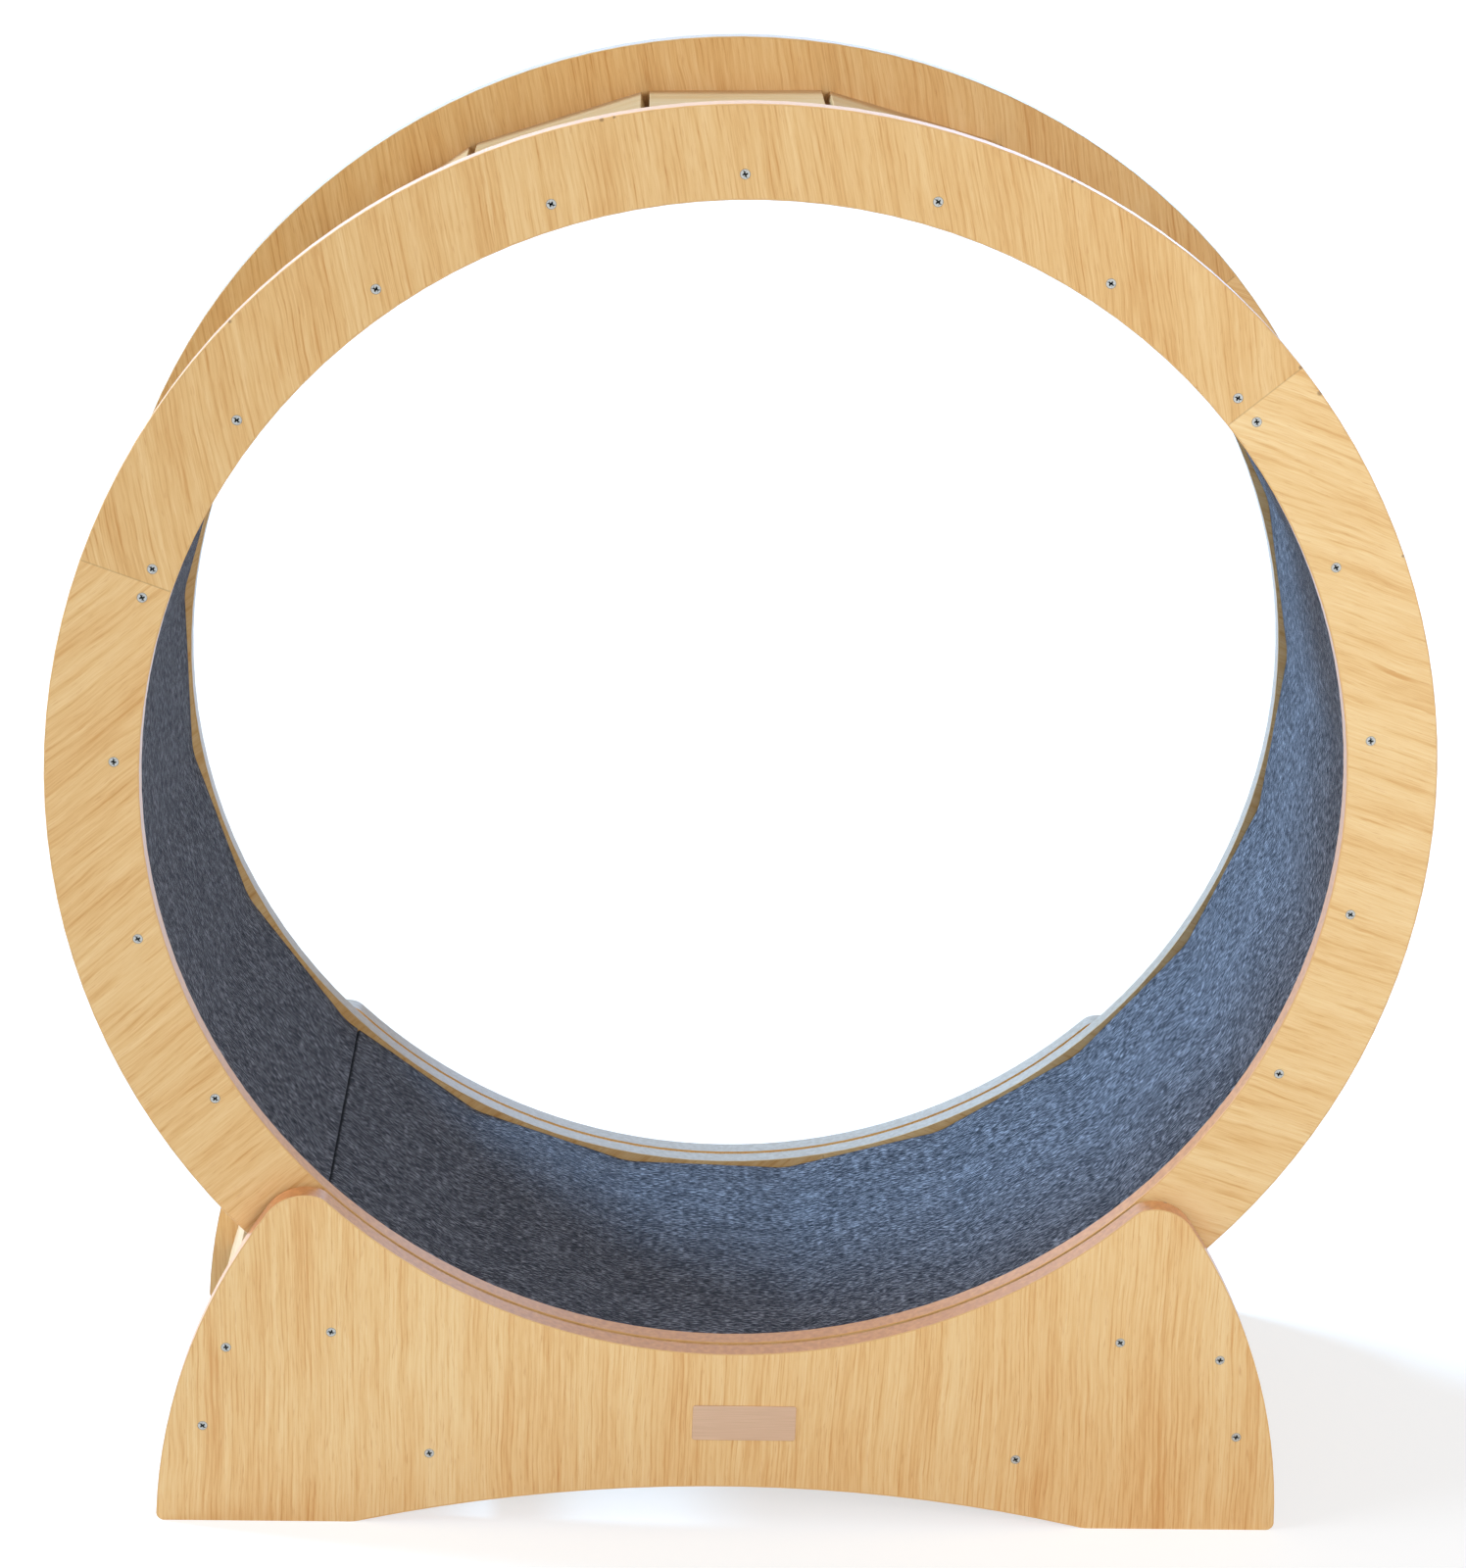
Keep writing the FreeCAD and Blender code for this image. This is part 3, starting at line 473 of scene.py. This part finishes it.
def one_screw():
    """A screw that stands on the origin with its head up, flush with z = 0."""
    bm = bmesh.new()
    bmesh.ops.create_grid(bm, x_segments=3, y_segments=3, size=RECESS_REACH)
    corners = [f for f in bm.faces if abs(f.calc_center_median().x) > RECESS_REACH / 4
               and abs(f.calc_center_median().y) > RECESS_REACH / 4]
    bmesh.ops.delete(bm, geom=corners, context="FACES")
    for vert in bm.verts:
        for axis in (0, 1):
            if abs(vert.co[axis]) < RECESS_REACH / 2:
                vert.co[axis] = math.copysign(RECESS_ARM / 2, vert.co[axis])
    cross = bm.faces[:]
    recess_rim = [e for e in bm.edges if e.is_boundary]
    made = bmesh.ops.create_circle(bm, cap_ends=False, segments=24, radius=SCREW_HEAD_RADIUS - SCREW_RIM)
    head_rim = [e for e in bm.edges if all(v in made["verts"] for v in e.verts)]
    bmesh.ops.bridge_loops(bm, edges=recess_rim + head_rim)
    sunk = bmesh.ops.extrude_face_region(bm, geom=cross)
    bmesh.ops.delete(bm, geom=cross, context="FACES_ONLY")
    floor_verts = [v for v in sunk["geom"] if isinstance(v, bmesh.types.BMVert)]
    bmesh.ops.scale(bm, vec=(0.62, 0.62, 1), verts=floor_verts)
    bmesh.ops.translate(bm, vec=(0, 0, -RECESS_DEPTH), verts=floor_verts)
    # The recess takes the second, darker finish: partly dirt, partly painted shade.
    for face in bm.faces:
        face.material_index = 1 if face.calc_center_median().z < -0.0001 else 0
    # Rim, cone, shank and point are each drawn on from the last loop.
    radius = SCREW_HEAD_RADIUS - SCREW_RIM
    loop, level = head_rim, 0.0
    for next_radius, depth in SCREW_PROFILE:
        drawn = bmesh.ops.extrude_edge_only(bm, edges=loop)["geom"]
        verts = [v for v in drawn if isinstance(v, bmesh.types.BMVert)]
        loop = [e for e in drawn if isinstance(e, bmesh.types.BMEdge) and all(v in verts for v in e.verts)]
        # The rim, cone, shank and point take the darker finish too: on the rim it is painted shade and dirt.
        for face in (f for f in drawn if isinstance(f, bmesh.types.BMFace)):
            face.material_index = 1
        bmesh.ops.scale(bm, vec=(next_radius / radius, next_radius / radius, 1), verts=verts)
        bmesh.ops.translate(bm, vec=(0, 0, level - depth), verts=verts)
        radius, level = next_radius, depth
    bmesh.ops.contextual_create(bm, geom=loop)
    bmesh.ops.recalc_face_normals(bm, faces=bm.faces[:])
    mesh = bpy.data.meshes.new("one_screw")
    bm.to_mesh(mesh)
    bm.free()
    return mesh


def ring_screw_angles():
    """One screw to a slat, and two to a slat that bridges a joint, one on either side of it."""
    for number in range(SLATS):
        angle = FIRST_JOINT + number * SLAT_PITCH
        if number % (SLATS // SEGMENTS):
            yield angle
        else:
            yield angle - JOINT_SCREW_TURN
            yield angle + JOINT_SCREW_TURN


def set_of_screws(name, places, body):
    """One piece for all screws of a node. places gives the middle of each head, on the face of the board."""
    bm = bmesh.new()
    for x, y, z in places:
        before = len(bm.verts)
        bm.from_mesh(screw_master)
        bm.verts.ensure_lookup_table()
        outward = Matrix.Rotation(math.radians(90 if y < 0 else -90), 4, "X")
        driven = Matrix.Rotation(driver.uniform(0, math.pi / 2), 4, "Z")
        seat = Matrix.Translation((x, y - math.copysign(SCREW_SINK, y), z))
        bmesh.ops.transform(bm, matrix=seat @ outward @ driven, verts=bm.verts[before:])
    mesh = bpy.data.meshes.new(name)
    bm.to_mesh(mesh)
    bm.free()
    mesh.materials.append(zinc)
    mesh.materials.append(zinc_dirty_and_painted_shaded)
    piece = bpy.data.objects.new(name, mesh)
    bpy.context.scene.collection.objects.link(piece)
    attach(piece, body)
    return piece


# Bright zinc plating on the flat of the head, and the same painted darker and dull in the recess, on the rim
# and down the shank: partly dirt, partly painted shade.
zinc = bare_metal("zinc_plated_steel", "#B9B7B0", 0.42, metallic=0.7)
zinc_dirty_and_painted_shaded = bare_metal("zinc_dirt_and_painted_shade", "#AAA59B", 0.6, metallic=0.0)
screw_master = one_screw()
driver = random.Random(21)
for face_name, side in (("front", -1), ("rear", 1)):
    places = [(SLAT_RADIUS * math.cos(a), side * RING_FACE, AXIS_HEIGHT + SLAT_RADIUS * math.sin(a))
              for a in ring_screw_angles()]
    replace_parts(set_of_screws(f"{face_name}_ring_screw_set", places, "drum"), f"{face_name}_ring_screws")
places = [(mirror * x, side * PLATE_FACE, z)
          for side in (-1, 1) for mirror in (-1, 1) for x, z in PLATE_SCREWS]
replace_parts(set_of_screws("base_screw_set", places, "base"), "base_screws")


# ---- Base plates ------------------------------------------------------------
# Two plates of the same veneered board stand on the floor with the drum
# between them. Their grain stands upright, finer and denser than the rings'.
PLATE_OAK = ("#DFA563", "#F2C88A", "#FAD8A0")
PLATE_GRAIN = math.radians(91)
PLATE_STREAK = 3.8

for face_name, shift in (("front", (0.4, 0.0, 0.3)), ("rear", (1.9, 0.0, 2.1))):
    plate_oak = oak_veneer(f"oak_veneer_{face_name}_plate", PLATE_GRAIN, PLATE_OAK, PLATE_STREAK, shift)
    finish_with(f"{face_name}_base_plate", plate_oak)
    # The rear plate's bands take the rear copy too, painted grey-brown as a painted cool reflection.
    finish_with(f"{face_name}_plate_edge_bands", bandings[face_name])


# ---- Boards between the plates ----------------------------------------------
# Two pairs of narrow boards tie the plates together below the drum. They are
# veneered like the slats, with the grain running from plate to plate.
BOARD_STREAK = 4.5


def board_veneer(name, tones, seed):
    """Lacquered oak veneer with its grain along the axle. seed takes each board from another place."""
    material, tree, wood = new_material(name)
    place = add(tree, "TexCoord").outputs["Object"]
    part = add(tree, "SeparateXYZ", {0: place})
    across = add(tree, "Math", {0: part.outputs["X"], 1: part.outputs["Z"]})
    grain = add(tree, "CombineXYZ", {0: part.outputs["Y"], 1: seed, 2: across.outputs[0]})
    figure, pores, tone = oak_figure(tree, grain.outputs[0], BOARD_STREAK, tones)
    bump = add(tree, "Bump", {"Height": pores, "Strength": 0.25, "Distance": -0.0002})
    tree.links.new(figure, wood.inputs["Base Color"])
    tree.links.new(bump.outputs[0], wood.inputs["Normal"])
    wood.inputs["Roughness"].default_value = 0.5
    return material


for side_name, seed in (("left", 0.7), ("right", 3.1)):
    for board, step in (("side", 0.0), ("cross", 1.3)):
        oak = board_veneer(f"oak_veneer_{side_name}_{board}_board", SLAT_OAK, seed + step)
        finish_with(f"{side_name}_{board}_board", oak)


# ---- Label plate ------------------------------------------------------------
# A bare plate of satin copper, glued to the front base plate. Its face is
# brushed from side to side, its corners are round and its rim is softened.
LABEL_WIDE, LABEL_THICK, LABEL_HIGH = 0.0774, 0.0008, 0.0284
LABEL_CENTRE = (0.0137, -PLATE_FACE - LABEL_THICK / 2, 0.0857)
LABEL_CORNER = 0.002
LABEL_RIM = 0.0003


def brushed_copper(name):
    """Copper sheet brushed from side to side under clear lacquer: pale pink, with fine level streaks."""
    material, tree, metal = new_material(name)
    place = add(tree, "TexCoord").outputs["Object"]
    # Brush marks are 40 mm long, and drawn 0.35 mm wide, coarser than real ones, so that they show.
    scale = add(tree, "Mapping", {0: place, "Scale": (1000 / 40, 100, 1000 / 0.35)})
    brush = add(tree, "TexNoise", {"Vector": scale.outputs[0], "Scale": 1.0, "Detail": 3.0})
    colour = add(tree, "ValToRGB", {"Fac": brush.outputs["Fac"]},
                 stops=((0.3, "#C6A386"), (0.5, "#CEAB8E"), (0.7, "#D8B598")))
    gloss = add(tree, "MapRange", {"Value": brush.outputs["Fac"], "To Min": 0.34, "To Max": 0.50})
    bump = add(tree, "Bump", {"Height": brush.outputs["Fac"], "Strength": 0.15, "Distance": 0.0001})
    tree.links.new(colour.outputs[0], metal.inputs["Base Color"])
    tree.links.new(gloss.outputs[0], metal.inputs["Roughness"])
    tree.links.new(bump.outputs[0], metal.inputs["Normal"])
    metal.inputs["Metallic"].default_value = 0.65
    return material


bm = bmesh.new()
bmesh.ops.create_cube(bm, size=1.0)
bmesh.ops.scale(bm, vec=(LABEL_WIDE, LABEL_THICK, LABEL_HIGH), verts=bm.verts[:])
bmesh.ops.translate(bm, vec=LABEL_CENTRE, verts=bm.verts[:])
short = [e for e in bm.edges if e.calc_length() < 1.01 * LABEL_THICK]
bmesh.ops.bevel(bm, geom=short, offset=LABEL_CORNER, offset_type="OFFSET", affect="EDGES", segments=8,
                profile=0.5, material=-1)
rim = [e for e in bm.edges if all(v.co.y < LABEL_CENTRE[1] for v in e.verts)]
bmesh.ops.bevel(bm, geom=rim, offset=LABEL_RIM, offset_type="OFFSET", affect="EDGES", segments=3,
                profile=0.5, material=-1)
mesh = bpy.data.meshes.new("label_face_plate")
bm.to_mesh(mesh)
bm.free()
mesh.materials.append(brushed_copper("brushed_copper"))
label = bpy.data.objects.new("label_face_plate", mesh)
bpy.context.scene.collection.objects.link(label)
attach(label, "base")
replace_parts(label, "label_plate")


# ---- Rollers, bearings and axles --------------------------------------------
# Turned nylon rollers carry the rings. Each runs on two ball bearings on a
# plain steel axle, held by spring clips.


def turned_nylon(name, colour):
    """Dark nylon turned on a lathe: near black with a soft gloss, a little hazy from place to place."""
    material, tree, nylon = new_material(name)
    place = add(tree, "TexCoord").outputs["Object"]
    haze = add(tree, "TexNoise", {"Vector": place, "Scale": 180.0, "Detail": 3.0})
    tint = add(tree, "ValToRGB", {"Fac": haze.outputs["Fac"]}, stops=((0.3, "#343437"), (0.7, colour)))
    gloss = add(tree, "MapRange", {"Value": haze.outputs["Fac"], "To Min": 0.36, "To Max": 0.50})
    tree.links.new(tint.outputs[0], nylon.inputs["Base Color"])
    tree.links.new(gloss.outputs[0], nylon.inputs["Roughness"])
    return material


nylon = turned_nylon("turned_nylon", "#444448")
# The races are polished, the axles only ground, and the clips are blued, so each is duller than the last.
bearing_steel = bare_metal("polished_bearing_steel", "#C9CBCE", 0.22)
axle_steel = bare_metal("ground_axle_steel", "#B7B9BB", 0.30)
spring_steel = bare_metal("blued_spring_steel", "#4A4C50", 0.38)
for side_name in ("left", "right"):
    for face_name in ("front", "rear"):
        finish_with(f"{face_name}_{side_name}_roller", nylon)
        finish_with(f"{face_name}_{side_name}_bearings", bearing_steel)
    finish_with(f"{side_name}_axle", axle_steel)
    finish_with(f"{side_name}_axle_spacers", axle_steel)
    finish_with(f"{side_name}_bearing_inner_rings", bearing_steel)
finish_with("axle_clips", spring_steel)


# ---- Floor ------------------------------------------------------------------
# A plain white floor that runs out of sight behind the wheel. The camera sees
# it white, and it keeps the shadow.
FLOOR_RADIUS = 40.0

bm = bmesh.new()
bmesh.ops.create_circle(bm, cap_ends=True, segments=96, radius=FLOOR_RADIUS)
floor_mesh = bpy.data.meshes.new("floor")
bm.to_mesh(floor_mesh)
bm.free()
floor = bpy.data.objects.new("floor", floor_mesh)
bpy.context.scene.collection.objects.link(floor)


def seen_directly(tree):
    """1 for what the camera sees, also in a reflection or through glass, and 0 for what only lights."""
    ray = add(tree, "LightPath").outputs
    bounced = add(tree, "Math", {0: ray["Is Glossy Ray"], 1: ray["Is Transmission Ray"]}, operation="MAXIMUM")
    return add(tree, "Math", {0: ray["Is Camera Ray"], 1: bounced.outputs[0]}, operation="MAXIMUM").outputs[0]


# Matt white paint. Part of its white is glow, so that it stays white around the shadow, and the light
# that it throws back on the wheel is dimmer and a little warm.
white, tree, paint = new_material("white_floor_paint")
glow = add(tree, "Emission", {"Color": (1, 1, 1, 1), "Strength": 0.66})
shadowed = add(tree, "BsdfDiffuse", {"Color": (0.44, 0.44, 0.44, 1)})
bright = add(tree, "AddShader", {0: glow.outputs[0], 1: shadowed.outputs[0]})
paint.inputs["Base Color"].default_value = (0.68, 0.57, 0.48, 1)
paint.inputs["Roughness"].default_value = 0.9
choice = add(tree, "MixShader", {0: seen_directly(tree), 1: paint.outputs[0], 2: bright.outputs[0]})
tree.links.new(choice.outputs[0], tree.nodes["Material Output"].inputs["Surface"])
floor_mesh.materials.append(white)


# ---- Light, world and camera ------------------------------------------------
# A white room lights the wheel softly. Cool daylight comes from windows behind
# it and on its left, a plain lamp shines in from the left, and a soft box
# stands to the right of the camera.
world = bpy.data.worlds.new("white_room")
bpy.context.scene.world = world
world.use_nodes = True
tree = world.node_tree
sky = tree.nodes["Background"]
sky.inputs["Color"].default_value = (1, 1, 1, 1)
# The room lights the wheel at a third of the white that the camera sees.
level = add(tree, "MapRange", {"Value": seen_directly(tree), "To Min": 0.34, "To Max": 1.0})
tree.links.new(level.outputs[0], sky.inputs["Strength"])


def sun(name, strength, direction, spread, colour="#FFFFFF"):
    """A distant lamp that shines along direction. spread is its angular size in degrees."""
    data = bpy.data.lights.new(name, "SUN")
    data.energy = strength
    data.angle = math.radians(spread)
    data.color = linear(colour)[:3]
    lamp = bpy.data.objects.new(name, data)
    lamp.rotation_euler = Vector(direction).to_track_quat("-Z", "Y").to_euler()
    bpy.context.scene.collection.objects.link(lamp)


def panel(name, power, place, target, wide, high, colour="#FFFFFF"):
    """A flat lamp at place, turned to face target."""
    data = bpy.data.lights.new(name, "AREA")
    data.shape = "RECTANGLE"
    data.size, data.size_y = wide, high
    data.energy = power
    data.color = linear(colour)[:3]
    lamp = bpy.data.objects.new(name, data)
    aim = (Vector(target) - Vector(place)).to_track_quat("-Z", "Y").to_matrix().to_4x4()
    lamp.matrix_world = Matrix.Translation(place) @ aim
    bpy.context.scene.collection.objects.link(lamp)


sun("window_lamp", 5.6, (0.70, -0.28, -0.60), 16, "#ADD9FF")
sun("left_lamp", 1.5, (0.88, 0.20, -0.38), 30, "#F2F7FF")
panel("soft_box", 31.0, (1.4, -2.6, 1.7), (0.0, -0.17, 0.7), 1.2, 1.0)
panel("rear_window", 14.0, (-0.3, 3.0, 1.15), (-0.3, 0.0, 1.15), 3.6, 0.7, "#B8D8FF")

CAMERA_PLACE = (-0.0966, -2.8264, 1.4906)
CAMERA_YAW, CAMERA_PITCH, CAMERA_ROLL = -5.296, -16.088, -3.210
CAMERA_FOCAL = 89.48
CAMERA_SHIFT = (-0.15, -0.1125)
lens = bpy.data.cameras.new("camera")
lens.sensor_fit = "AUTO"
lens.sensor_width = 36.0
lens.lens = CAMERA_FOCAL
lens.shift_x, lens.shift_y = CAMERA_SHIFT
camera = bpy.data.objects.new("camera", lens)
bpy.context.scene.collection.objects.link(camera)
turns = ((CAMERA_YAW, "Z"), (CAMERA_PITCH, "X"), (CAMERA_ROLL, "Y"), (90.0, "X"))
aim = Matrix.Identity(4)
for degrees, axis in turns:
    aim = aim @ Matrix.Rotation(math.radians(degrees), 4, axis)
camera.matrix_world = Matrix.Translation(CAMERA_PLACE) @ aim
bpy.context.scene.camera = camera
bpy.context.scene.view_settings.view_transform = "Standard"
